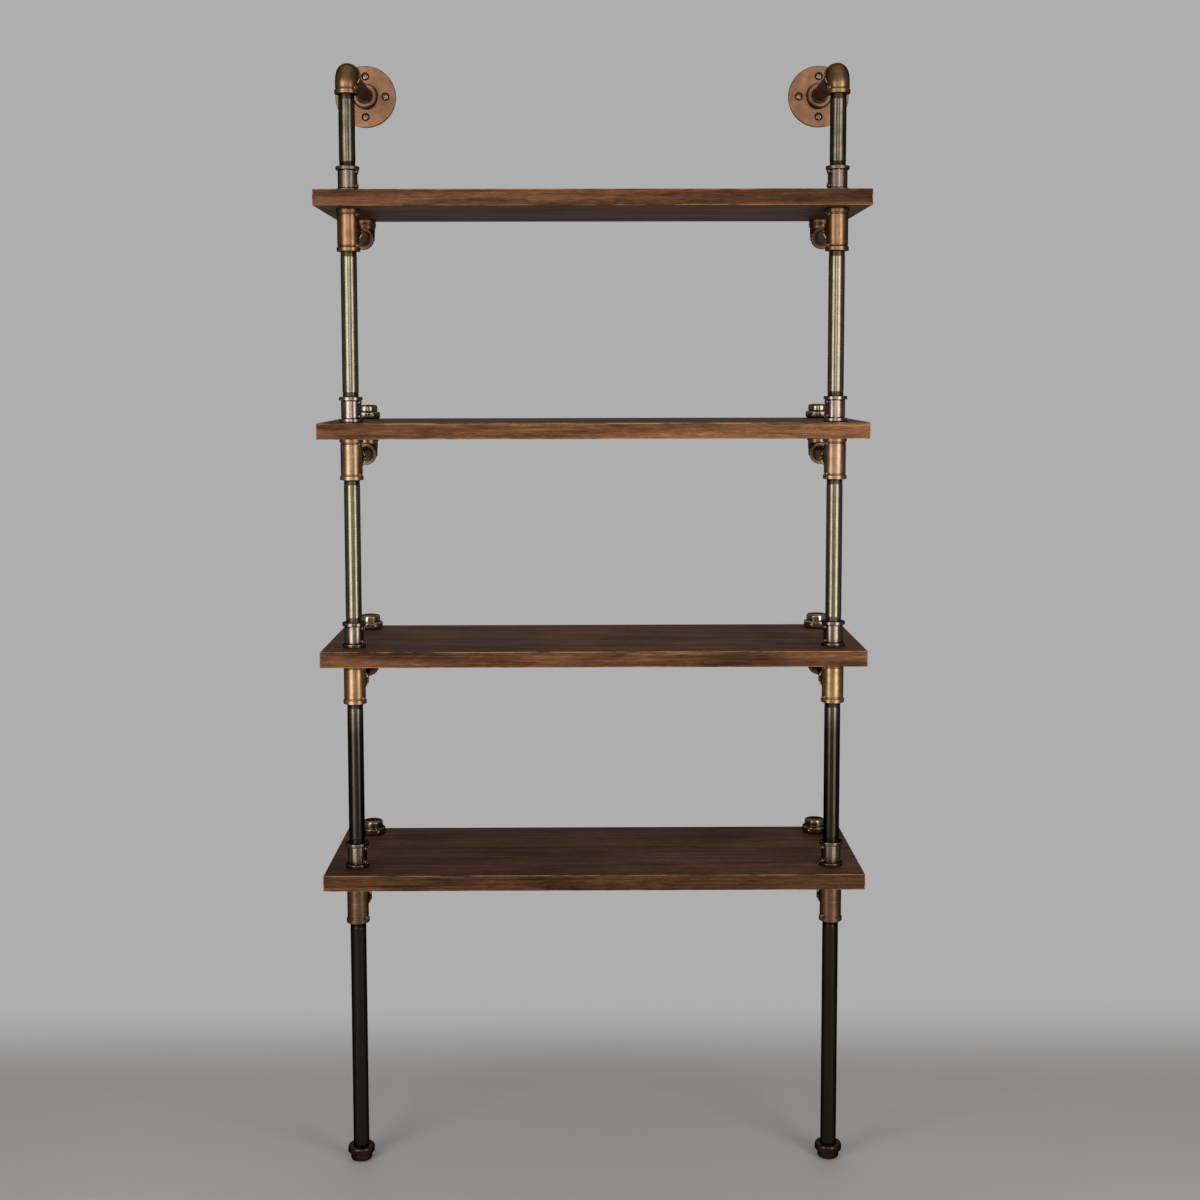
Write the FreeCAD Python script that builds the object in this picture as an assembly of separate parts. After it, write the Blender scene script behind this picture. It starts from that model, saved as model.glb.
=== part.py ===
import FreeCAD, Part
import os

# Etagere bookcase: plank shelves on pipe posts, tied back to the wall at the top.
# The frame is +Z up and -Y to the front. The origin lies on the floor, under the
# middle of the whole piece. Lengths are in millimetres.

# Shelves
shelf_length = 858.0
shelf_depth = 286.0
shelf_thickness = 25.0
shelf_pitch = 357.5
bottom_shelf_top = 488.0
shelf_edge_bevel = 1.5
shelf_names = ["bottom_shelf", "lower_shelf", "upper_shelf", "top_shelf"]

# Where the pipes stand, from the ends, fronts and backs of the shelves
post_end_inset = 47.0
post_front_inset = 55.0
rear_pipe_inset = 34.0

# The arms that reach back to the wall, above the top shelf
wall_reach = 237.0
wall_arm_rise = 183.5

# Pipe and the way it seats in its fittings
pipe_diameter = 25.4
pipe_wall = 2.0
socket_clearance = 0.15
socket_depth = 14.0
shelf_hole_clearance = 0.6

# Banded tees and elbows
fitting_diameter = 34.4
branch_diameter = 33.6
band_diameter = 37.0
band_height = 7.0
tee_length = 66.0
elbow_bend_radius = 18.0
passage_diameter = 16.0
cross_passage_diameter = 15.0

# Collars that stand on the shelves
collar_length = 40.0
collar_diameter = 30.6
collar_band_height = 5.5
seam_width = 1.6
seam_relief = 0.9

# Bosses round the set screws
boss_diameter = 8.0
boss_inset = 9.0
boss_relief = 0.7
boss_angle = 60.0

# Caps under the posts and over the rear nipples
cap_height = 24.0
cap_diameter = 34.4
cap_band_diameter = 43.2
cap_band_height = 12.0
cap_edge_bevel = 2.5
cap_socket_depth = 18.0

# Wall flanges, each bored and counterbored for its wall screws
flange_diameter = 102.0
flange_thickness = 6.0
flange_edge_bevel = 1.0
hub_diameter = 41.2
hub_height = 14.0
hub_edge_bevel = 2.5
screw_circle_diameter = 67.0
screw_count = 4
screw_diameter = 5.0
screw_hole_clearance = 0.3
screw_seat_diameter = 14.4
screw_seat_depth = 2.8

# How far a cutting tool runs past what it cuts
overrun = 1.0

# Values worked out from the sizes above
pipe_radius = pipe_diameter / 2
pipe_bore_radius = pipe_radius - pipe_wall
socket_radius = pipe_radius + socket_clearance
fitting_radius = fitting_diameter / 2
band_radius = band_diameter / 2
boss_reach = band_radius + boss_relief
tee_reach = tee_length / 2
elbow_reach = tee_reach
post_spacing = shelf_length - 2 * post_end_inset
overall_depth = post_front_inset + wall_reach
post_y = post_front_inset - overall_depth / 2
wall_y = post_y + wall_reach
shelf_y = post_y - post_front_inset + shelf_depth / 2
rear_y = shelf_y + shelf_depth / 2 - rear_pipe_inset
top_shelf_top = bottom_shelf_top + (len(shelf_names) - 1) * shelf_pitch
wall_arm_height = top_shelf_top + wall_arm_rise

origin = FreeCAD.Vector(0, 0, 0)
right = FreeCAD.Vector(1, 0, 0)
back = FreeCAD.Vector(0, 1, 0)
up = FreeCAD.Vector(0, 0, 1)

# Each side of the bookcase has its own sign along X
sides = {"left": -1, "right": 1}


def post_x(side):
    return sides[side] * post_spacing / 2


def shelf_top(level):
    """Height of the top face of a shelf, counted from the bottom one."""
    return bottom_shelf_top + level * shelf_pitch


def shelf_underside(level):
    return shelf_top(level) - shelf_thickness


def shelf_arm_height(level):
    """Height of the horizontal pipes that carry a shelf."""
    return shelf_underside(level) - tee_reach


def placed(shape, x, y, z):
    """A copy of a shape, moved from the origin to its place."""
    moved = shape.copy()
    moved.translate(FreeCAD.Vector(x, y, z))
    return moved


def turned(shape, axis, angle):
    """A copy of a shape, turned about an axis through the origin."""
    copy = shape.copy()
    copy.rotate(origin, axis, angle)
    return copy


def on_side(shape, side):
    """The left-hand shape as it is, or its mirror image on the right."""
    if side == "left":
        return shape.copy()
    return shape.mirror(origin, right)


def turned_profile(outline):
    """Solid of revolution about Z from an outline of radius and height."""
    points = [FreeCAD.Vector(radius, 0, height) for radius, height in outline]
    face = Part.Face(Part.makePolygon(points + [points[0]]))
    return face.revolve(origin, up, 360)


def pipe(length):
    """Straight pipe that stands on the origin."""
    outside = Part.makeCylinder(pipe_radius, length)
    inside = Part.makeCylinder(pipe_bore_radius, length)
    return outside.cut(inside)


def socket_bore(reach, passage):
    """Cutter for one outlet of a fitting, from its centre to an open end above.

    The pipe seats on the step where the socket meets the narrower passage.
    """
    bore = Part.makeCylinder(passage / 2, reach)
    socket = Part.makeCylinder(socket_radius, socket_depth + overrun)
    return bore.fuse(placed(socket, 0, 0, reach - socket_depth))


def outlet(reach, radius, start=0):
    """Outside of one outlet of a fitting, up Z, with its band at the end."""
    outline = [
        (0, start),
        (radius, start),
        (radius, reach - band_height),
        (band_radius, reach - band_height),
        (band_radius, reach),
        (0, reach),
    ]
    return turned_profile(outline)


def screw_boss(reach):
    """Boss for a set screw near the end of an outlet, facing the front."""
    boss = Part.makeCylinder(boss_diameter / 2, boss_reach, origin, -back)
    return placed(boss, 0, 0, reach - boss_inset)


def angled_boss(reach):
    """Boss on an upright outlet, turned towards the middle of the shelf."""
    return turned(screw_boss(reach), up, boss_angle)


def rear_boss(reach):
    """Boss on an outlet that points to the back, facing straight inwards."""
    return turned(turned(screw_boss(reach), up, 90), right, -90)


def tee():
    """Left-hand tee: a run along Z for the post and a branch to the back."""
    upper = outlet(tee_reach, fitting_radius)
    lower = turned(upper, right, 180)
    branch = turned(outlet(tee_reach, branch_diameter / 2), right, -90)
    upper_boss = angled_boss(tee_reach)
    lower_boss = placed(upper_boss, 0, 0, 2 * (boss_inset - tee_reach))
    run = upper.fuse(lower).removeSplitter()
    body = run.multiFuse([branch, upper_boss, lower_boss, rear_boss(tee_reach)])
    run_bore = socket_bore(tee_reach, passage_diameter)
    branch_bore = turned(socket_bore(tee_reach, cross_passage_diameter), right, -90)
    body = body.cut(run_bore.fuse(turned(run_bore, right, 180)).removeSplitter())
    return body.cut(branch_bore).removeSplitter()


def bend(radius):
    """Quarter bend of a round section, from straight down to the back."""
    centre = FreeCAD.Vector(0, elbow_bend_radius, -elbow_bend_radius)
    start = FreeCAD.Vector(0, 0, -elbow_bend_radius)
    section = Part.Face(Part.Wire(Part.makeCircle(radius, start, up)))
    return section.revolve(centre, right, -90)


def elbow():
    """Left-hand elbow with one outlet down and the other to the back."""
    end = outlet(elbow_reach, fitting_radius, elbow_bend_radius)
    down = turned(end, right, 180)
    rear = turned(end, right, -90)
    down_boss = placed(angled_boss(elbow_reach), 0, 0, 2 * (boss_inset - elbow_reach))
    body = bend(fitting_radius).multiFuse([down, rear, down_boss, rear_boss(elbow_reach)])
    down_bore = turned(socket_bore(elbow_reach, passage_diameter), right, 180)
    rear_bore = turned(socket_bore(elbow_reach, cross_passage_diameter), right, -90)
    return body.cut(down_bore).cut(rear_bore).removeSplitter()


def collar():
    """Left-hand collar that stands on a shelf and holds two pipes end to end."""
    radius = collar_diameter / 2
    outline = [
        (socket_radius, 0),
        (band_radius, 0),
        (band_radius, collar_band_height),
        (radius, collar_band_height),
        (radius, collar_length - collar_band_height),
        (band_radius, collar_length - collar_band_height),
        (band_radius, collar_length),
        (socket_radius, collar_length),
    ]
    body = turned_profile(outline)
    seam_reach = radius + seam_relief
    seam = Part.makeBox(seam_width, 2 * seam_reach, collar_length - 2 * collar_band_height,
                        FreeCAD.Vector(-seam_width / 2, -seam_reach, collar_band_height))
    bore = Part.makeCylinder(socket_radius, collar_length)
    boss = angled_boss(collar_length)
    lower_boss = placed(boss, 0, 0, 2 * boss_inset - collar_length)
    trims = seam.multiFuse([boss, lower_boss]).cut(bore)
    return body.fuse(trims).removeSplitter()


def cap():
    """Cap that opens downwards, with its wide band round the mouth."""
    radius = cap_diameter / 2
    outline = [
        (0, cap_socket_depth),
        (socket_radius, cap_socket_depth),
        (socket_radius, 0),
        (cap_band_diameter / 2, 0),
        (cap_band_diameter / 2, cap_band_height),
        (radius, cap_band_height),
        (radius, cap_height - cap_edge_bevel),
        (radius - cap_edge_bevel, cap_height),
        (0, cap_height),
    ]
    return turned_profile(outline)


def wall_flange():
    """Round flange with its back on the XY plane and its hub along Z."""
    plate_radius = flange_diameter / 2
    hub_radius = hub_diameter / 2
    hub_top = flange_thickness + hub_height
    outline = [
        (0, 0),
        (plate_radius, 0),
        (plate_radius, flange_thickness - flange_edge_bevel),
        (plate_radius - flange_edge_bevel, flange_thickness),
        (hub_radius, flange_thickness),
        (hub_radius, hub_top - hub_edge_bevel),
        (hub_radius - hub_edge_bevel, hub_top),
        (0, hub_top),
    ]
    body = turned_profile(outline)
    socket = Part.makeCylinder(socket_radius, socket_depth)
    body = body.cut(placed(socket, 0, 0, hub_top - socket_depth))
    hole_radius = screw_diameter / 2 + screw_hole_clearance
    hole = Part.makeCylinder(hole_radius, flange_thickness)
    seat = Part.makeCylinder(screw_seat_diameter / 2, screw_seat_depth)
    seat = placed(seat, 0, 0, flange_thickness - screw_seat_depth)
    cutter = placed(hole.fuse(seat), 0, screw_circle_diameter / 2, 0)
    for index in range(screw_count):
        body = body.cut(turned(cutter, up, index * 360 / screw_count))
    return body


def shelf_board():
    """Plank with bevelled edges and a hole for each nipple."""
    board = Part.makeBox(shelf_length, shelf_depth, shelf_thickness,
                         FreeCAD.Vector(-shelf_length / 2, -shelf_depth / 2, -shelf_thickness))
    board = board.makeChamfer(shelf_edge_bevel, board.Edges)
    hole = Part.makeCylinder(pipe_radius + shelf_hole_clearance, shelf_thickness,
                             FreeCAD.Vector(0, 0, -shelf_thickness))
    for side in sides:
        for y in (post_y, rear_y):
            board = board.cut(placed(hole, post_x(side), y - shelf_y, 0))
    return board


def shelf_nipples(level):
    """Short pipes through a shelf: two at the posts and two at the back."""
    base = shelf_arm_height(level) + tee_reach - socket_depth
    front_top = shelf_top(level) + collar_length / 2
    rear_top = shelf_top(level) + cap_socket_depth
    pieces = []
    for side in sides:
        pieces.append(placed(pipe(front_top - base), post_x(side), post_y, base))
        pieces.append(placed(pipe(rear_top - base), post_x(side), rear_y, base))
    return pieces


def shelf_arms(level):
    """The two horizontal pipes under a shelf, from the tees to the elbows."""
    start = post_y + tee_reach - socket_depth
    end = rear_y - elbow_reach + socket_depth
    arm = turned(pipe(end - start), right, -90)
    return [placed(arm, post_x(side), start, shelf_arm_height(level)) for side in sides]


def rear_caps(level):
    return [placed(cap(), post_x(side), rear_y, shelf_top(level)) for side in sides]


def post_pipes(side):
    """Pipes of one post, each from a lower seat to an upper one, bottom first."""
    floor_seat = cap_height - cap_socket_depth
    lower_seats = [floor_seat]
    upper_seats = []
    for level in range(len(shelf_names)):
        upper_seats.append(shelf_arm_height(level) - tee_reach + socket_depth)
        lower_seats.append(shelf_top(level) + collar_length / 2)
    upper_seats.append(wall_arm_height - elbow_reach + socket_depth)
    return [placed(pipe(high - low), post_x(side), post_y, low)
            for low, high in zip(lower_seats, upper_seats)]


def wall_arm(side):
    start = post_y + elbow_reach - socket_depth
    end = wall_y - flange_thickness - hub_height + socket_depth
    return placed(turned(pipe(end - start), right, -90), post_x(side), start, wall_arm_height)


def bookcase():
    """Every piece of the bookcase, as lists of solids under their names."""
    pieces = {}
    board = shelf_board()
    tee_shape = tee()
    elbow_shape = elbow()
    rear_elbow_shape = turned(elbow_shape, right, 180)
    collar_shape = collar()
    flange_shape = turned(wall_flange(), right, 90)
    foot_shape = placed(turned(cap(), right, 180), 0, 0, cap_height)
    for level, name in enumerate(shelf_names):
        pieces[name] = [placed(board, 0, shelf_y, shelf_top(level))]
        pieces[name + "_arms"] = shelf_arms(level)
        pieces[name + "_nipples"] = shelf_nipples(level)
        pieces[name + "_rear_caps"] = rear_caps(level)
        for side in sides:
            x = post_x(side)
            arm_z = shelf_arm_height(level)
            pieces[name + "_" + side + "_tee"] = [placed(on_side(tee_shape, side), x, post_y, arm_z)]
            pieces[name + "_" + side + "_elbow"] = [
                placed(on_side(rear_elbow_shape, side), x, rear_y, arm_z)]
            pieces[name + "_" + side + "_collar"] = [
                placed(on_side(collar_shape, side), x, post_y, shelf_top(level))]
    for side in sides:
        x = post_x(side)
        for number, section in enumerate(post_pipes(side), 1):
            pieces[side + "_post_pipe_" + str(number)] = [section]
        pieces[side + "_foot_cap"] = [placed(foot_shape, x, post_y, 0)]
        pieces[side + "_top_elbow"] = [placed(on_side(elbow_shape, side), x, post_y, wall_arm_height)]
        pieces[side + "_wall_arm"] = [wall_arm(side)]
        pieces[side + "_wall_flange"] = [placed(flange_shape, x, wall_y, wall_arm_height)]
    return pieces


os.makedirs("parts", exist_ok=True)
for name, solids in bookcase().items():
    shape = solids[0] if len(solids) == 1 else Part.makeCompound(solids)
    shape.exportStep("parts/" + name + ".step")
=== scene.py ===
import math

import bmesh
import bpy
from mathutils import Matrix, Vector


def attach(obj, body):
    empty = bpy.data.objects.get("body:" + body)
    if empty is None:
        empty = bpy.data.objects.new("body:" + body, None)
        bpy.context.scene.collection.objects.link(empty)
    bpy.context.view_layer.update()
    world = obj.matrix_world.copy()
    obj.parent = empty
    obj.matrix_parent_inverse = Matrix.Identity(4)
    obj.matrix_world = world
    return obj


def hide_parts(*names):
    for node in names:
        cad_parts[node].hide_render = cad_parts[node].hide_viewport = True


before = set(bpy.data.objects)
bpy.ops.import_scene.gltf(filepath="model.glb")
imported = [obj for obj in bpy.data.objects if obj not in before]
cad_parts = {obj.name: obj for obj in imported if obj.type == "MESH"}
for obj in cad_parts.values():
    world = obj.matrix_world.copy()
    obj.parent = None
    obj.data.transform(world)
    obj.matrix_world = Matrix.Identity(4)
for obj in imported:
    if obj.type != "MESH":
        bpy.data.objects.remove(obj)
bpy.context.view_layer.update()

# Sizes of the bookcase, in metres. The front is -Y, and the origin is on the floor.
shelf_names = ["bottom_shelf", "lower_shelf", "upper_shelf", "top_shelf"]
low_shelves = shelf_names[:2]
shelf_length = 0.858
shelf_depth = 0.286
shelf_thickness = 0.025
shelf_pitch = 0.3575
bottom_shelf_top = 0.488
shelf_edge_radius = 0.0012
worn_edge_width = 0.0018
worn_edge_sharpness = 2200
shelf_y = -0.003
post_x = 0.382
post_y = -0.091
rear_y = 0.106
wall_y = 0.146
wall_arm_height = 1.744

# Pipe, with the thread that stays bare beside each fitting
pipe_radius = 0.0127
thread_depth = 0.0007
thread_crest_depth = 0.0001
thread_pitch = 0.0018
bare_thread = 0.0075
bare_thread_above_collar = 0.0072
socket_depth = 0.014
foot_seat = 0.006
arm_seat_gap = 0.006

# Fittings
fitting_radius = 0.0172
branch_radius = 0.0168
band_radius = 0.0185
band_height = 0.007
fitting_reach = 0.033
bend_radius = 0.018
mouth_radius = 0.01285
groove_width = 0.0011
groove_depth = 0.0007
fitting_rounding = 0.0005
collar_length = 0.04
collar_radius = 0.0153
collar_band_height = 0.0055
collar_groove_width = 0.0012
collar_edge = 0.0006
seam_width = 0.0016
seam_reach = 0.0162
seam_depth = 0.002
seam_rounding = 0.0003
boss_radius = 0.004
boss_rounding = 0.0007
boss_hole_depth = 0.0012
boss_reach = 0.0192
boss_inset = 0.009
boss_angle = math.radians(60)
cap_height = 0.024
cap_radius = 0.0172
cap_band_radius = 0.0216
cap_band_height = 0.012
cap_rounding = 0.004
cap_bevel = 0.0016
cap_groove_depth = 0.0006
cap_edge_rounding = 0.0007
cap_underside_step = 0.001
# How far the cap's crown lies in from its side and below its top
cap_crown = [(0, 0.0034), (0.0012, 0.0012), (0.0042, 0.0003)]
cap_screw_angle = math.radians(36)
foot_screw_angle = math.radians(150)
flange_radius = 0.051
flange_thickness = 0.006
hub_radius = 0.0206
hub_height = 0.014
hub_rounding = 0.0025
hub_socket_depth = 0.006
hub_mouth_width = 0.0004
hub_mouth_depth = 0.0006
hub_fillet_width = 0.0014
hub_fillet_height = 0.0012
flange_rounding = 0.0004
flange_back_edge = 0.0006
flange_front_edge = 0.001
screw_circle_radius = 0.0335
wall_screw_count = 4
screw_seat_radius = 0.0072
screw_seat_depth = 0.0028

# Screws
set_screw_radius = 0.0021
set_screw_length = 0.004
set_screw_edge = 0.0003
set_screw_socket = 0.0012
set_screw_sinking = 0.0003
band_screw_rise = 0.0001
wall_screw_head_radius = 0.0053
wall_screw_head_height = 0.0024
wall_screw_head_edge = 0.0009
wall_screw_socket = 0.0030
wall_screw_sinking = 0.0003

sides = {"left": -1, "right": 1}
full_turn = 2 * math.pi
quarter = full_turn / 4
sharp_crease = math.radians(50)


def shelf_top(level):
    """Height of a shelf's upper face."""
    return bottom_shelf_top + level * shelf_pitch


def lathed(outline, closed=False, steps=64):
    """A shape turned about Z from an outline of radius and height."""
    shape = bmesh.new()
    points = [shape.verts.new((radius, 0, height)) for radius, height in outline]
    ends = points[1:] + points[:1] if closed else points[1:]
    for first, second in zip(points, ends):
        shape.edges.new((first, second))
    bmesh.ops.spin(shape, geom=shape.verts[:] + shape.edges[:], cent=(0, 0, 0), axis=(0, 0, 1),
                   angle=full_turn, steps=steps, use_merge=True, use_duplicate=False)
    bmesh.ops.remove_doubles(shape, verts=shape.verts[:], dist=1e-6)
    bmesh.ops.recalc_face_normals(shape, faces=shape.faces[:])
    return shape


def softened(shape, width, segments=2, least_turn=math.radians(35)):
    """The shape with its edges rounded where they turn by more than the least turn."""
    edges = [edge for edge in shape.edges if edge.is_manifold and edge.calc_face_angle(0) > least_turn]
    bmesh.ops.bevel(shape, geom=edges, offset=width, offset_type="OFFSET", segments=segments,
                    profile=0.5, affect="EDGES", material=-1, clamp_overlap=True)
    return shape


def moved(shape, matrix):
    """The shape itself, moved, with its faces kept outwards where the matrix mirrors it."""
    bmesh.ops.transform(shape, matrix=matrix, verts=shape.verts[:])
    if matrix.determinant() < 0:
        bmesh.ops.reverse_faces(shape, faces=shape.faces[:])
    return shape


def gathered(shapes):
    """One shape that holds copies of all the given ones."""
    whole = bmesh.new()
    for shape in shapes:
        mesh = bpy.data.meshes.new("gathered")
        shape.to_mesh(mesh)
        whole.from_mesh(mesh)
        bpy.data.meshes.remove(mesh)
    return whole


def finished(shape, name, material, nodes=()):
    """A piece of the bookcase made from a shape that is already in its place."""
    mesh = bpy.data.meshes.new(name)
    shape.to_mesh(mesh)
    mesh.polygons.foreach_set("use_smooth", [True] * len(mesh.polygons))
    mesh.set_sharp_from_angle(angle=sharp_crease)
    mesh.materials.append(material)
    piece = bpy.data.objects.new(name, mesh)
    bpy.context.scene.collection.objects.link(piece)
    evened = piece.modifiers.new("even shading", "WEIGHTED_NORMAL")
    evened.keep_sharp = True
    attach(piece, "root")
    if nodes:
        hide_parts(*nodes)


def shift(x, y, z):
    """Matrix that moves a shape."""
    return Matrix.Translation((x, y, z))


def turn(angle, axis):
    """Matrix that turns a shape round an axis through the origin."""
    return Matrix.Rotation(angle, 4, axis)


mirrored = {"left": Matrix.Identity(4), "right": Matrix.Scale(-1, 4, (1, 0, 0))}


def on_side(side, y, z):
    """Place in line with a post, where the right side is the mirror image of the left."""
    return shift(sides[side] * post_x, y, z) @ mirrored[side]


# Fittings, each drawn round the origin as it is on the left side

def outlet(radius, start=0.0):
    """Outlet of a fitting up Z, with a groove beside the band at its mouth."""
    shoulder = fitting_reach - band_height
    shape = lathed([
        (0, start),
        (radius, start),
        (radius, shoulder - 2.4 * groove_width),
        (radius - groove_depth, shoulder - 1.7 * groove_width),
        (radius - groove_depth, shoulder - groove_width),
        (radius, shoulder - 0.4 * groove_width),
        (radius, shoulder),
        (band_radius, shoulder + 0.12 * band_height),
        (band_radius, fitting_reach - 0.1 * band_height),
        (band_radius - 0.1 * band_height, fitting_reach),
        (mouth_radius, fitting_reach),
        (mouth_radius, fitting_reach - 0.3 * band_height),
        (0, fitting_reach - 0.3 * band_height),
    ])
    return softened(shape, fitting_rounding)


def boss():
    """Boss round a set screw, up Z, with a shallow hole for the screw."""
    hole_radius = set_screw_radius * 1.12
    shape = lathed([
        (0, 0.4 * boss_reach),
        (boss_radius, 0.4 * boss_reach),
        (boss_radius, boss_reach),
        (hole_radius, boss_reach),
        (hole_radius, boss_reach - boss_hole_depth),
        (0, boss_reach - boss_hole_depth),
    ], steps=24)
    return softened(shape, boss_rounding)


def facing_middle(height):
    """Where a boss sits on an upright outlet, turned towards the shelf's middle."""
    return shift(0, 0, height) @ turn(boss_angle, "Z") @ turn(quarter, "X")


def facing_inwards(y):
    """Where a boss sits on an outlet along Y, facing straight inwards."""
    return shift(0, y, 0) @ turn(quarter, "Y")


boss_height = fitting_reach - boss_inset
tee_bosses = [facing_middle(boss_height), facing_middle(-boss_height), facing_inwards(boss_height)]
elbow_bosses = [facing_middle(-boss_height), facing_inwards(boss_height)]
collar_bosses = [facing_middle(boss_inset), facing_middle(collar_length - boss_inset)]


def tee():
    """Tee with its run up and down Z and its branch towards the wall."""
    run = outlet(fitting_radius)
    back = outlet(branch_radius)
    lower = run.copy()
    return gathered([run, moved(lower, turn(math.pi, "X")), moved(back, turn(-quarter, "X"))]
                    + [moved(boss(), place) for place in tee_bosses])


def elbow():
    """Elbow that bends from below towards the wall."""
    end = outlet(fitting_radius, bend_radius)
    down = moved(end.copy(), turn(math.pi, "X"))
    rear = moved(end, turn(-quarter, "X"))
    bend = bmesh.new()
    bmesh.ops.create_circle(bend, cap_ends=True, radius=fitting_radius, segments=64)
    moved(bend, shift(0, 0, -bend_radius))
    bmesh.ops.spin(bend, geom=bend.faces[:], cent=(0, bend_radius, -bend_radius), axis=(1, 0, 0),
                   angle=-quarter, steps=20, use_duplicate=False)
    bmesh.ops.recalc_face_normals(bend, faces=bend.faces[:])
    return gathered([bend, down, rear] + [moved(boss(), place) for place in elbow_bosses])


def collar():
    """Collar that stands on the XY plane, with a band at each end and a seam in front and behind."""
    band = collar_band_height
    groove = collar_groove_width
    low = [
        (collar_radius, band + groove),
        (collar_radius - groove_depth, band + 2 / 3 * groove),
        (collar_radius - groove_depth, band + 1 / 6 * groove),
        (band_radius - 2 / 3 * collar_edge, band),
        (band_radius, band - collar_edge),
        (band_radius, collar_edge),
        (band_radius - collar_edge, 0),
    ]
    high = [(radius, collar_length - height) for radius, height in reversed(low)]
    shape = lathed([(mouth_radius, 0), (mouth_radius, collar_length)] + high + low, closed=True)
    softened(shape, fitting_rounding)
    seams = []
    for sign in (-1, 1):
        seam = bmesh.new()
        bmesh.ops.create_cube(seam, size=1.0)
        height = collar_length - 2 * band
        moved(seam, shift(0, sign * (seam_reach - seam_depth / 2), collar_length / 2)
              @ Matrix.Diagonal((seam_width, seam_depth, height, 1)))
        seams.append(softened(seam, seam_rounding))
    return gathered([shape] + seams + [moved(boss(), place) for place in collar_bosses])


def cap():
    """Cap with its wide band round the mouth at the bottom."""
    band = cap_band_height
    shape = lathed([
        (0, cap_underside_step),
        (mouth_radius, cap_underside_step),
        (mouth_radius, 0),
        (cap_band_radius - cap_rounding, 0),
        (cap_band_radius - 0.55 * cap_rounding, 0.1 * cap_rounding),
        (cap_band_radius - 0.2 * cap_rounding, 0.4 * cap_rounding),
        (cap_band_radius, cap_rounding),
        (cap_band_radius, band - cap_bevel),
        (cap_band_radius - cap_bevel, band),
        (cap_radius + cap_groove_depth, band),
        (cap_radius - cap_groove_depth, band + 5 / 6 * cap_groove_depth),
        (cap_radius - cap_groove_depth, band + 2 * cap_groove_depth),
        (cap_radius, band + 3 * cap_groove_depth),
    ] + [(cap_radius - inwards, cap_height - down) for inwards, down in cap_crown] + [
        (0.4 * cap_radius, cap_height),
        (0, cap_height),
    ])
    return softened(shape, cap_edge_rounding, segments=3, least_turn=math.radians(20))


def band_screw(angle):
    """Where a set screw sits in a cap's band, turned from the front."""
    return shift(0, 0, cap_band_height / 2) @ turn(angle, "Z") @ turn(quarter, "X")


def foot():
    """Cap turned over, with the open ring of its mouth round the post."""
    return moved(cap(), shift(0, 0, cap_height) @ turn(math.pi, "X"))


def with_holes(shape, cutters):
    """The shape with each cutter taken out of it."""
    made = []
    for solid in (shape, gathered(cutters)):
        mesh = bpy.data.meshes.new("blank")
        solid.to_mesh(mesh)
        made.append(bpy.data.objects.new("blank", mesh))
        bpy.context.scene.collection.objects.link(made[-1])
    body, tools = made
    carving = body.modifiers.new("holes", "BOOLEAN")
    carving.operation = "DIFFERENCE"
    carving.object = tools
    carved = bpy.data.meshes.new_from_object(body.evaluated_get(bpy.context.evaluated_depsgraph_get()))
    result = bmesh.new()
    result.from_mesh(carved)
    for piece in made:
        bpy.data.meshes.remove(piece.data)
    bpy.data.meshes.remove(carved)
    return result


def wall_flange():
    """Flange with its back on the XY plane, its hub up Z and its seats for the wall screws."""
    top = flange_thickness + hub_height
    shape = lathed([
        (0, 0),
        (flange_radius - flange_back_edge, 0),
        (flange_radius, flange_back_edge),
        (flange_radius, flange_thickness - flange_front_edge),
        (flange_radius - flange_front_edge, flange_thickness),
        (hub_radius + hub_fillet_width, flange_thickness),
        (hub_radius, flange_thickness + hub_fillet_height),
        (hub_radius, top - hub_rounding),
        (hub_radius - hub_rounding, top),
        (mouth_radius + hub_mouth_width, top),
        (mouth_radius, top - hub_mouth_depth),
        (mouth_radius, top - hub_socket_depth),
        (0, top - hub_socket_depth),
    ], steps=96)
    seats = []
    for number in range(wall_screw_count):
        seat = lathed([
            (0, flange_thickness - screw_seat_depth),
            (screw_seat_radius, flange_thickness - screw_seat_depth),
            (screw_seat_radius, flange_thickness + screw_seat_depth),
            (0, flange_thickness + screw_seat_depth),
        ], steps=40)
        seats.append(moved(seat, turn(number * full_turn / wall_screw_count, "Z")
                           @ shift(0, screw_circle_radius, 0)))
    return with_holes(softened(shape, flange_rounding), seats)


def socket_screw(radius, length, head_edge, socket):
    """Round screw end up Z, its top at the origin, with a six-sided socket."""
    shape = lathed([(0, -length), (radius, -length), (radius, -head_edge), (radius - head_edge, 0)], steps=18)
    rim = [edge for edge in shape.edges if edge.is_boundary]
    made = bmesh.ops.create_circle(shape, cap_ends=False, radius=socket, segments=6)
    hexagon = [edge for edge in shape.edges if edge.verts[0] in made["verts"]]
    bmesh.ops.bridge_loops(shape, edges=rim + hexagon)
    deeper = bmesh.ops.extrude_edge_only(shape, edges=hexagon)
    low = [part for part in deeper["geom"] if isinstance(part, bmesh.types.BMVert)]
    bmesh.ops.translate(shape, verts=low, vec=(0, 0, -0.6 * length))
    bmesh.ops.contextual_create(shape, geom=low)
    bmesh.ops.recalc_face_normals(shape, faces=shape.faces[:])
    return shape


def set_screw():
    """The small screw that sits in every boss and cap band."""
    return socket_screw(set_screw_radius, set_screw_length, set_screw_edge, set_screw_socket)


fitting_thread = socket_depth + bare_thread
collar_thread = collar_length / 2 + bare_thread_above_collar


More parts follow.
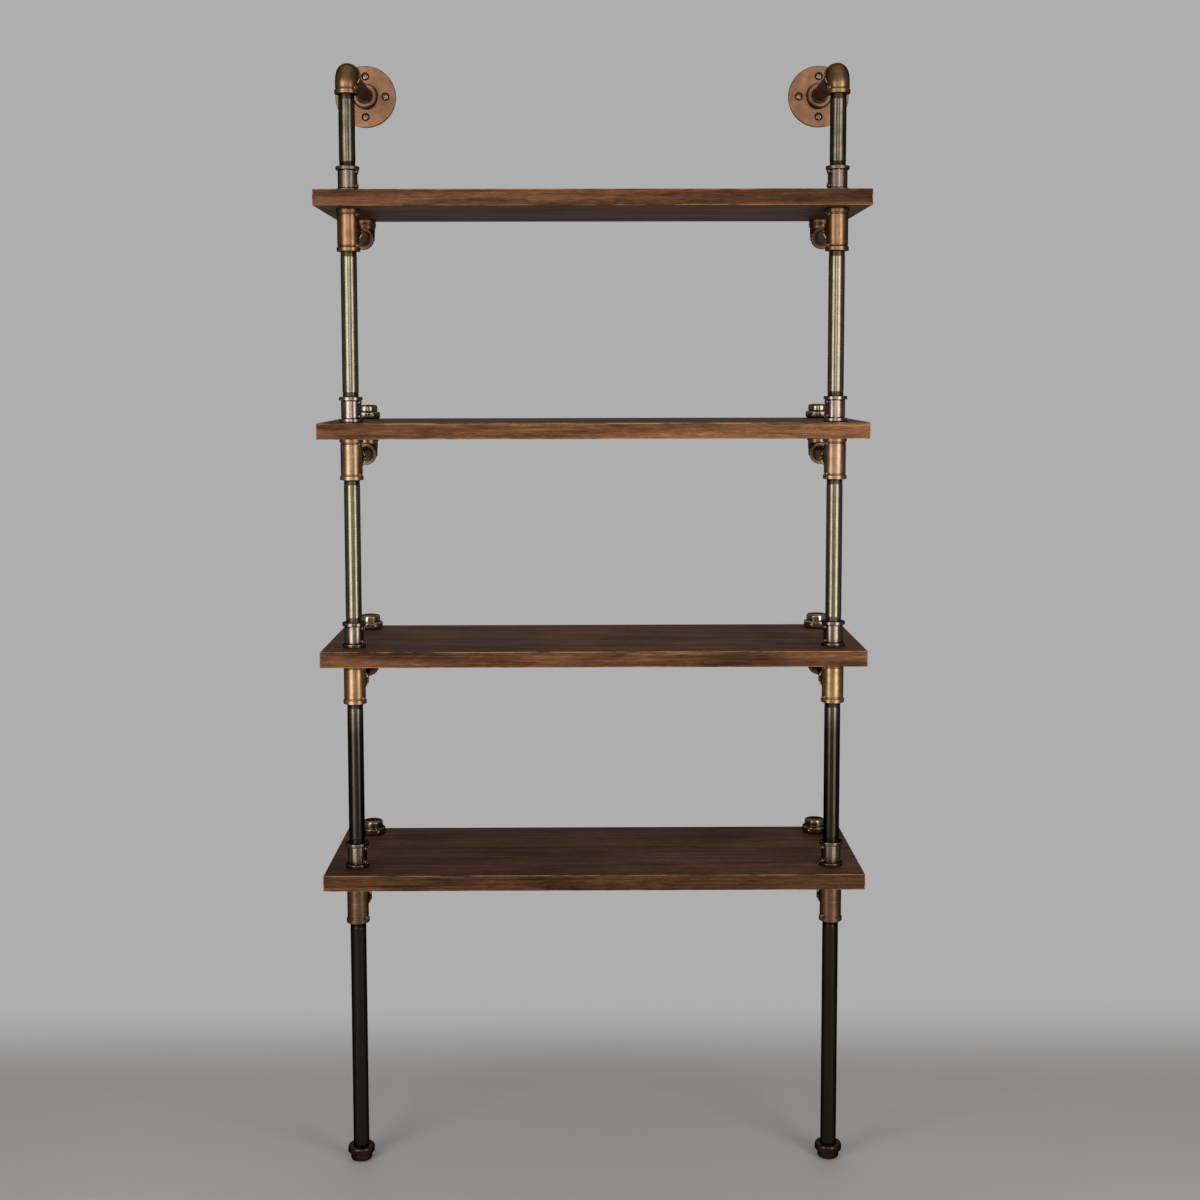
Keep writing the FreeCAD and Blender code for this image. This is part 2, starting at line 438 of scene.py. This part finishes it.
def thread(reach):
    """Outline of a pipe's end with its thread, as far as the given reach."""
    turns = round(reach / thread_pitch)
    outline = [(pipe_radius - thread_depth, 0)]
    for number in range(turns):
        outline.append((pipe_radius - thread_crest_depth, (number + 0.35) * thread_pitch))
        outline.append((pipe_radius - thread_crest_depth, (number + 0.55) * thread_pitch))
        outline.append((pipe_radius - thread_depth, (number + 0.95) * thread_pitch))
    outline.append((pipe_radius, (turns + 0.5) * thread_pitch))
    return outline


def pipe(length, start_thread=fitting_thread):
    """Pipe up Z from the origin, threaded at its end, and at its start unless that thread is nothing."""
    start = thread(start_thread) if start_thread else [(pipe_radius, 0)]
    finish = [(radius, length - height) for radius, height in reversed(thread(fitting_thread))]
    return lathed([(0, 0)] + start + finish + [(0, length)])


def board():
    """Plank round the origin with eased edges."""
    shape = bmesh.new()
    bmesh.ops.create_cube(shape, size=1.0)
    moved(shape, Matrix.Diagonal((shelf_length, shelf_depth, shelf_thickness, 1)))
    return softened(shape, shelf_edge_radius, segments=3)


# Finishes

def new_material(name):
    material = bpy.data.materials.new(name)
    material.use_nodes = True
    tree = material.node_tree
    return material, tree, tree.nodes["Principled BSDF"]


def add_node(tree, kind, **settings):
    """A node with its settings, and with values for the inputs that settings name."""
    node = tree.nodes.new(kind)
    for name, value in settings.items():
        key = name.replace("_", " ").title()
        if key in node.inputs.keys():
            node.inputs[key].default_value = value
        else:
            setattr(node, name, value)
    return node


def noise(tree, place, scale, detail, roughness, stretch=(1, 1, 1), offset=(0, 0, 0)):
    """Noise on the piece's own coordinates, stretched along its axes."""
    mapping = add_node(tree, "ShaderNodeMapping", scale=stretch, location=offset)
    tree.links.new(place, mapping.inputs["Vector"])
    texture = add_node(tree, "ShaderNodeTexNoise", scale=scale, detail=detail, roughness=roughness)
    tree.links.new(mapping.outputs["Vector"], texture.inputs["Vector"])
    return texture.outputs["Fac"]


def ramp(tree, value, stops):
    """A colour or grey that follows value through (position, colour) stops."""
    node = add_node(tree, "ShaderNodeValToRGB")
    line = node.color_ramp
    while len(line.elements) < len(stops):
        line.elements.new(0.5)
    for element, (position, colour) in zip(line.elements, stops):
        element.position = position
        element.color = (*colour, 1)
    tree.links.new(value, node.inputs["Fac"])
    return node.outputs["Color"]


def grey(value):
    return (value, value, value)


def between(tree, share, first, second):
    """A mix of two colours, sockets or fixed, with as much of the second as share says."""
    node = add_node(tree, "ShaderNodeMix", data_type="RGBA")
    tree.links.new(share, node.inputs[0])
    for socket, value in ((node.inputs[6], first), (node.inputs[7], second)):
        if isinstance(value, tuple):
            socket.default_value = (*value, 1)
        else:
            tree.links.new(value, socket)
    return node.outputs[2]


def times(tree, first, second):
    """Two colours multiplied together."""
    node = add_node(tree, "ShaderNodeMix", data_type="RGBA", blend_type="MULTIPLY")
    node.inputs[0].default_value = 1.0
    tree.links.new(first, node.inputs[6])
    tree.links.new(second, node.inputs[7])
    return node.outputs[2]


def maths(tree, operation, first, second=None):
    """What the operation gives for one or two values, sockets or fixed."""
    node = add_node(tree, "ShaderNodeMath", operation=operation)
    for socket, value in zip(node.inputs, (first, second)):
        if isinstance(value, bpy.types.NodeSocket):
            tree.links.new(value, socket)
        elif value is not None:
            socket.default_value = value
    return node.outputs[0]


def components(tree, vector):
    """The X, Y and Z of a vector."""
    node = add_node(tree, "ShaderNodeSeparateXYZ")
    tree.links.new(vector, node.inputs[0])
    return node.outputs


def bumped(tree, shader, height, distance, strength):
    """A relief of the surface that follows height."""
    bump = add_node(tree, "ShaderNodeBump", strength=strength, distance=distance)
    tree.links.new(height, bump.inputs["Height"])
    tree.links.new(bump.outputs["Normal"], shader.inputs["Normal"])


def toned(colour, share):
    """The colour, lighter or darker."""
    return tuple(share * part for part in colour)


def antique_metal(name, bright, dull, dark, worn, roughness, edge, floor_level=0.0,
                  rim_width=0.0014, worn_from=0.0, hollow_reach=0.004, dust_and_reflection=None):
    """Polished plate gone dull in patches, darkened in its hollows by patina and by painted shade, and worn
    on its rims, where the worn colour also paints the highlights that the rims catch.

    It may darken towards the floor from the height floor_level down as painted shade, keep its plate below
    the height worn_from, and put a dusty grey on its upper faces that also paints the reflection of the pale
    room above.
    """
    material, tree, shader = new_material(name)
    whole = add_node(tree, "ShaderNodeTexCoord")
    place = whole.outputs["Object"]
    cloud = noise(tree, place, scale=55, detail=5, roughness=0.6)
    patches = ramp(tree, cloud, [(0.36, grey(0)), (0.64, grey(1))])
    colour = between(tree, patches, dull, bright)
    dots = noise(tree, place, scale=420, detail=3, roughness=0.6)
    specks = ramp(tree, dots, [(0.3, grey(1)), (0.42, grey(0))])
    colour = between(tree, maths(tree, "MULTIPLY", specks, 0.08), colour, dark)
    # Wear and painted highlight: convex rims take the worn colour, which also stands for the highlights that
    # the rims catch
    rim = add_node(tree, "ShaderNodeAmbientOcclusion", samples=16, distance=rim_width, inside=True)
    rims_worn_and_lit = ramp(tree, rim.outputs["AO"], [(0.5, grey(0.9)), (0.82, grey(0))])
    if worn_from:
        above = maths(tree, "GREATER_THAN", components(tree, place)["Z"], worn_from)
        rims_worn_and_lit = maths(tree, "MULTIPLY", rims_worn_and_lit, above)
    colour = between(tree, rims_worn_and_lit, colour, worn)
    # Patina and painted shade: the colour goes near black where nearby surfaces close in, in grooves, seats,
    # sockets and between parts
    hollow = add_node(tree, "ShaderNodeAmbientOcclusion", samples=16, distance=hollow_reach)
    closed = ramp(tree, hollow.outputs["AO"], [(0.35, grey(1)), (0.78, grey(0))])
    colour = between(tree, closed, colour, dark)
    # Painted shade: the colour darkens towards the floor below the height floor_level, where less light
    # reaches
    if floor_level:
        depth = maths(tree, "DIVIDE", components(tree, place)["Z"], floor_level)
        floor_shade = ramp(tree, depth,
                       [(0.0, grey(0.95)), (0.55, grey(0.93)), (0.88, grey(0.88)), (1.0, grey(0))])
        colour = between(tree, floor_shade, colour, dark)
    # Dust and painted reflection: faces that point up take a grey that is dust and also the reflection of the
    # pale room above
    if dust_and_reflection:
        facing_up = components(tree, whole.outputs["Normal"])["Z"]
        upward = ramp(tree, facing_up, [(0.9, grey(0)), (1.0, grey(1))])
        colour = between(tree, upward, colour, dust_and_reflection)
    tree.links.new(colour, shader.inputs["Base Color"])
    shader.inputs["Metallic"].default_value = 1.0
    shader.inputs["Specular Tint"].default_value = (*edge, 1)
    smears = noise(tree, place, scale=36, detail=2, roughness=0.5)
    rough = ramp(tree, smears, [(0.3, grey(roughness * 0.9)), (0.7, grey(roughness * 1.12))])
    tree.links.new(rough, shader.inputs["Roughness"])
    waves = noise(tree, place, scale=90, detail=2, roughness=0.5)
    bumped(tree, shader, waves, distance=0.00003, strength=0.08)
    return material


def wood_noise(tree, place, seed, detail, roughness, stretch):
    """Noise with so many cells per metre along, across and through the plank, shifted by its seed."""
    return noise(tree, place, scale=1, detail=detail, roughness=roughness, stretch=stretch, offset=seed)


def worn_edges(tree, place, seed):
    """One along the plank's edges, broken up, and zero on its faces."""
    halves = (shelf_length / 2, shelf_depth / 2, shelf_thickness / 2)
    gaps = [maths(tree, "SUBTRACT", half, maths(tree, "ABSOLUTE", part))
            for half, part in zip(halves, components(tree, place))]
    least = maths(tree, "MINIMUM", gaps[0], gaps[1])
    most = maths(tree, "MAXIMUM", gaps[0], gaps[1])
    second = maths(tree, "MAXIMUM", least, maths(tree, "MINIMUM", most, gaps[2]))
    chips = wood_noise(tree, place, seed, detail=6, roughness=0.7, stretch=(12, 90, 90))
    chipped = ramp(tree, chips, [(0.36, grey(0)), (0.58, grey(1))])
    reach = maths(tree, "MULTIPLY", chipped, worn_edge_width)
    near = maths(tree, "SUBTRACT", reach, second)
    sharpened = maths(tree, "MULTIPLY", near, worn_edge_sharpness)
    return ramp(tree, sharpened, [(0.0, grey(0)), (0.9, grey(0.8))])


def walnut(name, level, gold, pale):
    """Dark plank with a walnut stain, its fronts more golden than its faces, partly its own tone and partly
    painted light, its stain worn through along the edges.
    """
    material, tree, shader = new_material(name)
    whole = add_node(tree, "ShaderNodeTexCoord")
    middle = shelf_top(level) - shelf_thickness / 2
    centred = add_node(tree, "ShaderNodeMapping", location=(0, -shelf_y, -middle))
    tree.links.new(whole.outputs["Object"], centred.inputs["Vector"])
    place = centred.outputs["Vector"]
    seed = (3.7 * level, 1.9 * level, 0.8 * level)
    bands = wood_noise(tree, place, seed, detail=3, roughness=0.5, stretch=(1.6, 30, 44))
    streaks = wood_noise(tree, place, seed, detail=7, roughness=0.66, stretch=(5, 170, 260))
    pores = wood_noise(tree, place, seed, detail=3, roughness=0.5, stretch=(34, 900, 1000))
    patches = wood_noise(tree, place, seed, detail=4, roughness=0.6, stretch=(7, 16, 50))
    clouds = wood_noise(tree, place, seed, detail=5, roughness=0.7, stretch=(45, 110, 150))
    threads = wood_noise(tree, place, seed, detail=4, roughness=0.7, stretch=(60, 520, 620))
    layers = wood_noise(tree, place, seed, detail=4, roughness=0.55, stretch=(4, 46, 150))
    grain = maths(tree, "ADD", maths(tree, "MULTIPLY", bands, 0.42), maths(tree, "MULTIPLY", streaks, 0.58))
    # Partly painted light: the upper and lower faces take darker colours than the fronts, for the light that
    # falls less on them as well as the wood's own tone
    faces = [(0.044, 0.0175, 0.0078), (0.076, 0.0305, 0.0138), (0.124, 0.0515, 0.0225)]
    face = ramp(tree, grain, [(position, toned(colour, pale))
                              for position, colour in zip((0.36, 0.5, 0.64), faces)])
    fronts = [(0.064, 0.026, 0.0120), (0.165, 0.068, 0.0290), (0.285, 0.130, 0.0580)]
    edge = ramp(tree, grain, [(position, toned(colour, gold))
                              for position, colour in zip((0.36, 0.5, 0.66), fronts)])
    normal = components(tree, whole.outputs["Normal"])
    flat = maths(tree, "ABSOLUTE", normal["Z"])
    colour = between(tree, ramp(tree, flat, [(0.3, grey(0)), (0.8, grey(1))]), edge, face)
    tone = ramp(tree, patches, [(0.3, grey(0.5)), (0.5, grey(0.95)), (0.72, grey(1.3))])
    mottle = ramp(tree, clouds, [(0.3, grey(0.78)), (0.7, grey(1.16))])
    fibres = ramp(tree, threads, [(0.36, grey(0.68)), (0.64, grey(1.36))])
    colour = times(tree, times(tree, times(tree, colour, tone), mottle), fibres)
    rings = ramp(tree, layers, [(0.35, grey(0.35)), (0.65, grey(1.0))])
    endwise = ramp(tree, maths(tree, "ABSOLUTE", normal["X"]), [(0.5, grey(0)), (0.8, grey(1))])
    colour = between(tree, endwise, colour, times(tree, colour, rings))
    dots = ramp(tree, pores, [(0.33, grey(1)), (0.41, grey(0))])
    colour = between(tree, maths(tree, "MULTIPLY", dots, 0.5), colour, (0.018, 0.009, 0.005))
    worn = toned((0.46, 0.24, 0.085), math.sqrt(gold))
    colour = between(tree, worn_edges(tree, place, seed), colour, worn)
    tree.links.new(colour, shader.inputs["Base Color"])
    shader.inputs["Specular IOR Level"].default_value = 0.06
    rough = ramp(tree, streaks, [(0.35, grey(0.72)), (0.65, grey(0.55))])
    tree.links.new(rough, shader.inputs["Roughness"])
    relief = maths(tree, "ADD", streaks, maths(tree, "MULTIPLY", pores, 0.5))
    bumped(tree, shader, relief, distance=0.0004, strength=0.55)
    return material


def copper_plate(name, bright):
    return antique_metal(name, bright=bright, dull=toned(bright, 0.7), dark=(0.014, 0.008, 0.005),
                         worn=(0.640, 0.300, 0.130), roughness=0.33, edge=(0.03, 0.02, 0.01))


def nickel_plate(name, bright, roughness):
    return antique_metal(name, bright=bright, dull=toned(bright, 0.7), dark=(0.014, 0.010, 0.008),
                         worn=(0.620, 0.420, 0.300), roughness=roughness, edge=(0.03, 0.02, 0.02))


def bronze_plate(name, bright):
    return antique_metal(name, bright=bright, dull=toned(bright, 0.68), dark=(0.014, 0.010, 0.007),
                         worn=(0.500, 0.320, 0.190), roughness=0.18, edge=(0.07, 0.05, 0.04))


# The post pipes' colour darkens towards the floor as painted shade
pipe_metal = antique_metal("gunmetal_pipe", bright=(0.290, 0.245, 0.170), dull=(0.235, 0.195, 0.130),
                           dark=(0.022, 0.018, 0.014), worn=(0.300, 0.250, 0.170), roughness=0.22,
                           edge=(0.03, 0.02, 0.02), floor_level=0.80)
# Painted shade: the highest pipe of each post takes a darker copy of the gunmetal, for the lesser light at
# the top
high_pipe_metal = antique_metal("shaded_gunmetal", bright=(0.170, 0.140, 0.092), dull=(0.100, 0.082, 0.056),
                                dark=(0.018, 0.014, 0.010), worn=(0.220, 0.180, 0.120), roughness=0.22,
                                edge=(0.03, 0.02, 0.02))
# The arm steel is darkened in part as painted shade for the shade under the planks; its near-black copy below
# paints the deeper shade under the two lowest planks
arm_metal = antique_metal("smoked_and_shaded_steel", bright=(0.230, 0.210, 0.200), dull=(0.170, 0.150, 0.145),
                          dark=(0.022, 0.018, 0.016), worn=(0.300, 0.270, 0.250), roughness=0.26,
                          edge=(0.24, 0.225, 0.23))
low_arm_metal = antique_metal("deep_shade_steel", bright=(0.060, 0.053, 0.048), dull=(0.040, 0.035, 0.031),
                              dark=(0.010, 0.009, 0.008), worn=(0.100, 0.080, 0.070), roughness=0.26,
                              edge=(0.06, 0.05, 0.05))
wall_arm_metal = antique_metal("plum_bronze", bright=(0.260, 0.200, 0.185), dull=(0.190, 0.145, 0.135),
                               dark=(0.022, 0.018, 0.016), worn=(0.300, 0.230, 0.200), roughness=0.28,
                               edge=(0.28, 0.23, 0.24))
copper = copper_plate("antique_copper", (0.390, 0.222, 0.112))
# Painted shade and highlight: the foot is the rear caps' part, painted near black for the shade near the
# floor; its golden rim is a painted highlight together with wear, and its grey top is dust together with a
# painted reflection
foot_metal = antique_metal("shade_darkened_copper", bright=(0.064, 0.038, 0.022), dull=(0.032, 0.021, 0.014),
                           dark=(0.012, 0.009, 0.007), worn=(0.900, 0.480, 0.160), roughness=0.24,
                           edge=(0.08, 0.06, 0.04), rim_width=0.006, worn_from=0.016, hollow_reach=0.002,
                           dust_and_reflection=(0.110, 0.108, 0.100))
flange_copper = antique_metal("satin_copper", bright=(0.375, 0.200, 0.112), dull=(0.258, 0.134, 0.073),
                              dark=(0.020, 0.012, 0.008), worn=(0.470, 0.240, 0.130), roughness=0.40,
                              edge=(0.16, 0.11, 0.07))
screw_metal = antique_metal("bright_steel", bright=(0.560, 0.520, 0.480), dull=(0.440, 0.400, 0.360),
                            dark=(0.010, 0.009, 0.008), worn=(0.640, 0.600, 0.560), roughness=0.25,
                            edge=(0.4, 0.4, 0.4))
head_metal = antique_metal("browned_steel", bright=(0.210, 0.160, 0.125), dull=(0.140, 0.105, 0.080),
                           dark=(0.008, 0.006, 0.005), worn=(0.520, 0.430, 0.360), roughness=0.22,
                           edge=(0.2, 0.16, 0.13))
# Tones of the tees, rear elbows, collars and rear caps at each plank, from the bottom shelf to the top one;
# each batch's own tone together with painted light for how much light reaches each plank, and the rear elbows
# of the two lowest planks painted dark for the shade under the planks above
copper_tones = [(0.240, 0.134, 0.081), (0.500, 0.302, 0.149), (0.473, 0.297, 0.176), (0.350, 0.190, 0.097)]
elbow_tones = [(0.110, 0.068, 0.038), (0.110, 0.068, 0.038), (0.400, 0.250, 0.148), (0.300, 0.165, 0.086)]
nickel_tones = [(0.265, 0.195, 0.150), (0.300, 0.235, 0.200), (0.370, 0.290, 0.248), (0.220, 0.165, 0.138)]
nickel_roughness = [0.22, 0.22, 0.22, 0.36]
bronze_tones = [(0.360, 0.275, 0.205), (0.680, 0.560, 0.420), (0.460, 0.360, 0.265), (0.440, 0.345, 0.260)]
# How golden the front of each plank is, from the bottom shelf to the top one, its own tone together with
# painted light
plank_golds = [0.51, 0.93, 1.36, 0.77]
# How pale the faces of each plank are, from the bottom shelf to the top one, their own tone together with
# painted light
plank_pales = [1.0, 1.4, 1.4, 1.0]


# The bookcase

set_screws = []


def add_set_screws(places, at):
    """Set screws in bosses, just below the rims."""
    for place in places:
        set_screws.append(moved(set_screw(), at @ place @ shift(0, 0, boss_reach - set_screw_sinking)))


def fit(shape, at, node, material):
    """A copy of the shape in its place, shown in place of the node's solid."""
    finished(moved(shape.copy(), at), node + "_piece", material, [node])


tee_shape = tee()
elbow_shape = elbow()
collar_shape = collar()
cap_shape = cap()
foot_shape = foot()
flange_shape = wall_flange()
board_shape = board()
arm_start = post_y + fitting_reach - socket_depth
arm_length = rear_y - post_y - 2 * (fitting_reach - socket_depth)
wall_arm_length = wall_y - flange_thickness - arm_seat_gap - arm_start
cap_screws = []
wall_screws = []

for level, name in enumerate(shelf_names):
    top = shelf_top(level)
    arm_z = top - shelf_thickness - fitting_reach
    plank = walnut("dark_walnut_" + str(level + 1), level, plank_golds[level], plank_pales[level])
    finished(moved(board_shape.copy(), shift(0, shelf_y, top - shelf_thickness / 2)),
             name + "_piece", plank, [name])
    level_copper = copper_plate("antique_copper_" + str(level + 1), copper_tones[level])
    level_elbow = copper_plate("shaded_copper_" + str(level + 1), elbow_tones[level])
    # Painted shade: the arms under the two lowest planks take the near-black steel
    level_arm = low_arm_metal if name in low_shelves else arm_metal
    level_nickel = nickel_plate("aged_nickel_" + str(level + 1), nickel_tones[level], nickel_roughness[level])
    level_bronze = bronze_plate("aged_bronze_" + str(level + 1), bronze_tones[level])
    arms = []
    caps = []
    for side, sign in sides.items():
        tee_place = on_side(side, post_y, arm_z)
        fit(tee_shape, tee_place, name + "_" + side + "_tee", level_copper)
        add_set_screws(tee_bosses, tee_place)
        elbow_place = on_side(side, rear_y, arm_z) @ turn(math.pi, "X")
        fit(elbow_shape, elbow_place, name + "_" + side + "_elbow", level_elbow)
        add_set_screws(elbow_bosses, elbow_place)
        collar_place = on_side(side, post_y, top)
        fit(collar_shape, collar_place, name + "_" + side + "_collar", level_nickel)
        add_set_screws(collar_bosses, collar_place)
        cap_place = on_side(side, rear_y, top)
        caps.append(moved(cap_shape.copy(), cap_place))
        cap_screws.append(cap_place @ band_screw(cap_screw_angle))
        arms.append(moved(pipe(arm_length), shift(sign * post_x, arm_start, arm_z) @ turn(-quarter, "X")))
    finished(gathered(arms), name + "_arms_piece", level_arm, [name + "_arms"])
    finished(gathered(caps), name + "_rear_caps_piece", level_bronze, [name + "_rear_caps"])

for side, sign in sides.items():
    lows = [foot_seat]
    highs = []
    for level in range(len(shelf_names)):
        top = shelf_top(level)
        highs.append(top - shelf_thickness - 2 * fitting_reach + socket_depth)
        lows.append(top + collar_length / 2)
    highs.append(wall_arm_height - fitting_reach + socket_depth)
    for number, (low, high) in enumerate(zip(lows, highs), 1):
        start_thread = collar_thread if number > 1 else 0
        finish = high_pipe_metal if number == len(highs) else pipe_metal
        fit(pipe(high - low, start_thread), shift(sign * post_x, post_y, low),
            side + "_post_pipe_" + str(number), finish)
    foot_place = on_side(side, post_y, 0)
    fit(foot_shape, foot_place, side + "_foot_cap", foot_metal)
    cap_screws.append(foot_place @ shift(0, 0, cap_height - cap_band_height) @ band_screw(foot_screw_angle))
    top_place = on_side(side, post_y, wall_arm_height)
    fit(elbow_shape, top_place, side + "_top_elbow", copper)
    add_set_screws(elbow_bosses, top_place)
    arm_place = shift(sign * post_x, arm_start, wall_arm_height) @ turn(-quarter, "X")
    fit(pipe(wall_arm_length), arm_place, side + "_wall_arm", wall_arm_metal)
    flange_place = shift(sign * post_x, wall_y, wall_arm_height) @ turn(quarter, "X")
    fit(flange_shape, flange_place, side + "_wall_flange", flange_copper)
    for number in range(wall_screw_count):
        around = turn(number * full_turn / wall_screw_count, "Z")
        wall_screws.append(flange_place @ around @ shift(0, screw_circle_radius, flange_thickness))

for place in cap_screws:
    set_screws.append(moved(set_screw(), place @ shift(0, 0, cap_band_radius + band_screw_rise)))
finished(gathered(set_screws), "set_screws", screw_metal)

heads = []
for place in wall_screws:
    head = socket_screw(wall_screw_head_radius, wall_screw_head_height, wall_screw_head_edge,
                        wall_screw_socket)
    heads.append(moved(head, place @ shift(0, 0, -wall_screw_sinking)))
finished(gathered(heads), "wall_screws", head_metal)

# The nipples inside the boards keep their solids
for name in shelf_names:
    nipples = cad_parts[name + "_nipples"]
    nipples.data.materials.clear()
    nipples.data.materials.append(pipe_metal)


# Stage, light and camera

studio_pale = (0.43, 0.425, 0.43)
studio_side = (0.13, 0.13, 0.13)
floor_pale = (0.50, 0.49, 0.47)
floor_width = 24
floor_fade_start = 1.0
floor_fade_end = 2.4
back_fade_start = 0.16
back_fade_end = 0.60
softbox_width = 0.75
softbox_height = 2.06
softbox_middle = 1.13
softbox_y = -1.35
softbox_power = 14.6
camera_place = (-0.0073, -2.7711, 1.2806)
camera_swing = math.radians(-0.374)
camera_tilt = math.radians(90 - 4.97)
camera_roll = math.radians(-0.111)
camera_lens = 50.886
camera_shift = -0.0667


def faded(tree, distance, start, end):
    """Nothing up to the start, and one from the end on."""
    node = add_node(tree, "ShaderNodeMapRange", interpolation_type="SMOOTHSTEP", from_min=start, from_max=end)
    tree.links.new(distance, node.inputs["Value"])
    return node.outputs["Result"]


def floor_finish():
    """Pale floor that keeps the shadows and thins out behind the bookcase and further off."""
    material, tree, shader = new_material("pale_floor")
    place = add_node(tree, "ShaderNodeTexCoord").outputs["Object"]
    cloud = noise(tree, place, scale=3, detail=5, roughness=0.6)
    soft = ramp(tree, cloud, [(0.3, toned(floor_pale, 0.96)), (0.7, floor_pale)])
    tree.links.new(soft, shader.inputs["Base Color"])
    shader.inputs["Roughness"].default_value = 0.6
    reach = add_node(tree, "ShaderNodeVectorMath", operation="LENGTH")
    tree.links.new(place, reach.inputs[0])
    rays = add_node(tree, "ShaderNodeLightPath")
    seen = maths(tree, "MAXIMUM", rays.outputs["Is Camera Ray"], rays.outputs["Is Glossy Ray"])
    seen = maths(tree, "MAXIMUM", seen, rays.outputs["Is Transmission Ray"])
    behind = faded(tree, components(tree, place)["Y"], back_fade_start, back_fade_end)
    far = faded(tree, reach.outputs["Value"], floor_fade_start, floor_fade_end)
    thinned = maths(tree, "MULTIPLY", maths(tree, "MAXIMUM", behind, far), seen)
    clear = add_node(tree, "ShaderNodeBsdfTransparent")
    blend = add_node(tree, "ShaderNodeMixShader")
    for socket, value in zip(blend.inputs, (thinned, shader.outputs["BSDF"], clear.outputs["BSDF"])):
        tree.links.new(value, socket)
    tree.links.new(blend.outputs["Shader"], tree.nodes["Material Output"].inputs["Surface"])
    return material


floor_mesh = bpy.data.meshes.new("floor")
floor_shape = bmesh.new()
bmesh.ops.create_grid(floor_shape, x_segments=1, y_segments=1, size=floor_width / 2)
floor_shape.to_mesh(floor_mesh)
floor = bpy.data.objects.new("floor", floor_mesh)
floor.data.materials.append(floor_finish())
bpy.context.scene.collection.objects.link(floor)


def soft_light(name, place, target, width, height, power):
    """Softbox that faces its target and stays out of the picture."""
    lamp = bpy.data.lights.new(name, "AREA")
    lamp.shape = "RECTANGLE"
    lamp.size = width
    lamp.size_y = height
    lamp.energy = power
    light = bpy.data.objects.new(name, lamp)
    light.location = place
    aim = Vector(target) - Vector(place)
    light.rotation_euler = aim.to_track_quat("-Z", "Y").to_euler()
    light.visible_camera = False
    bpy.context.scene.collection.objects.link(light)


soft_light("left_softbox", (-1.10, softbox_y, softbox_middle), (-0.1, -0.1, softbox_middle),
           softbox_width, softbox_height, softbox_power)
soft_light("right_softbox", (1.18, softbox_y, softbox_middle), (0.1, -0.1, softbox_middle),
           softbox_width, softbox_height, softbox_power)
soft_light("middle_softbox", (0, -3.05, 1.75), (0, -0.1, 1.40), width=0.9, height=1.3, power=8.0)

# The studio is pale in front and behind and falls off to the sides, so the metal's edges stay dark
world = bpy.data.worlds.new("studio")
world.use_nodes = True
room = world.node_tree
towards = components(room, add_node(room, "ShaderNodeTexCoord").outputs["Generated"])
sideways = maths(room, "ABSOLUTE", towards["X"])
walls = ramp(room, sideways, [(0.36, studio_pale), (0.7, studio_side)])
room.links.new(walls, room.nodes["Background"].inputs["Color"])
bpy.context.scene.world = world

camera = bpy.data.cameras.new("camera")
camera.lens = camera_lens
camera.sensor_width = 36
camera.shift_y = camera_shift
view = bpy.data.objects.new("camera", camera)
view.matrix_world = (shift(*camera_place) @ turn(camera_swing, "Z") @ turn(camera_tilt, "X")
                     @ turn(camera_roll, "Z"))
bpy.context.scene.collection.objects.link(view)
bpy.context.scene.camera = view

bpy.context.scene.view_settings.view_transform = "Standard"
